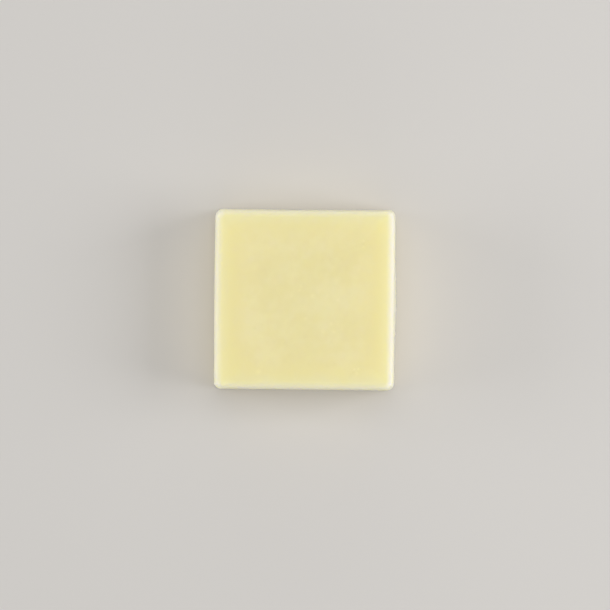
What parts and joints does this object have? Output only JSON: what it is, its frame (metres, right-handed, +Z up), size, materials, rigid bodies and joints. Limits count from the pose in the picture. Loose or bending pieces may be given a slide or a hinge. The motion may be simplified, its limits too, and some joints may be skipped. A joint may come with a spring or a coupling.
{
  "type": "conditioner bar",
  "caption": "Square cast conditioner bar, solid pale yellow block with leaning walls, rounded corners and a soft rounded upper edge, lying on its flat base.",
  "frame": {"origin": "centre of the flat base", "axes": "+Z up through the moulded face, +X to the right and +Y to the back of the bar as it is seen from above"},
  "size_m": [0.0602, 0.0602, 0.025],
  "materials": {
    "conditioner": "cast waxy solid, satin, slightly translucent at the edges"
  },
  "bodies": {
    "root": {"conditioner_bar": "conditioner"}
  },
  "joints": []
}
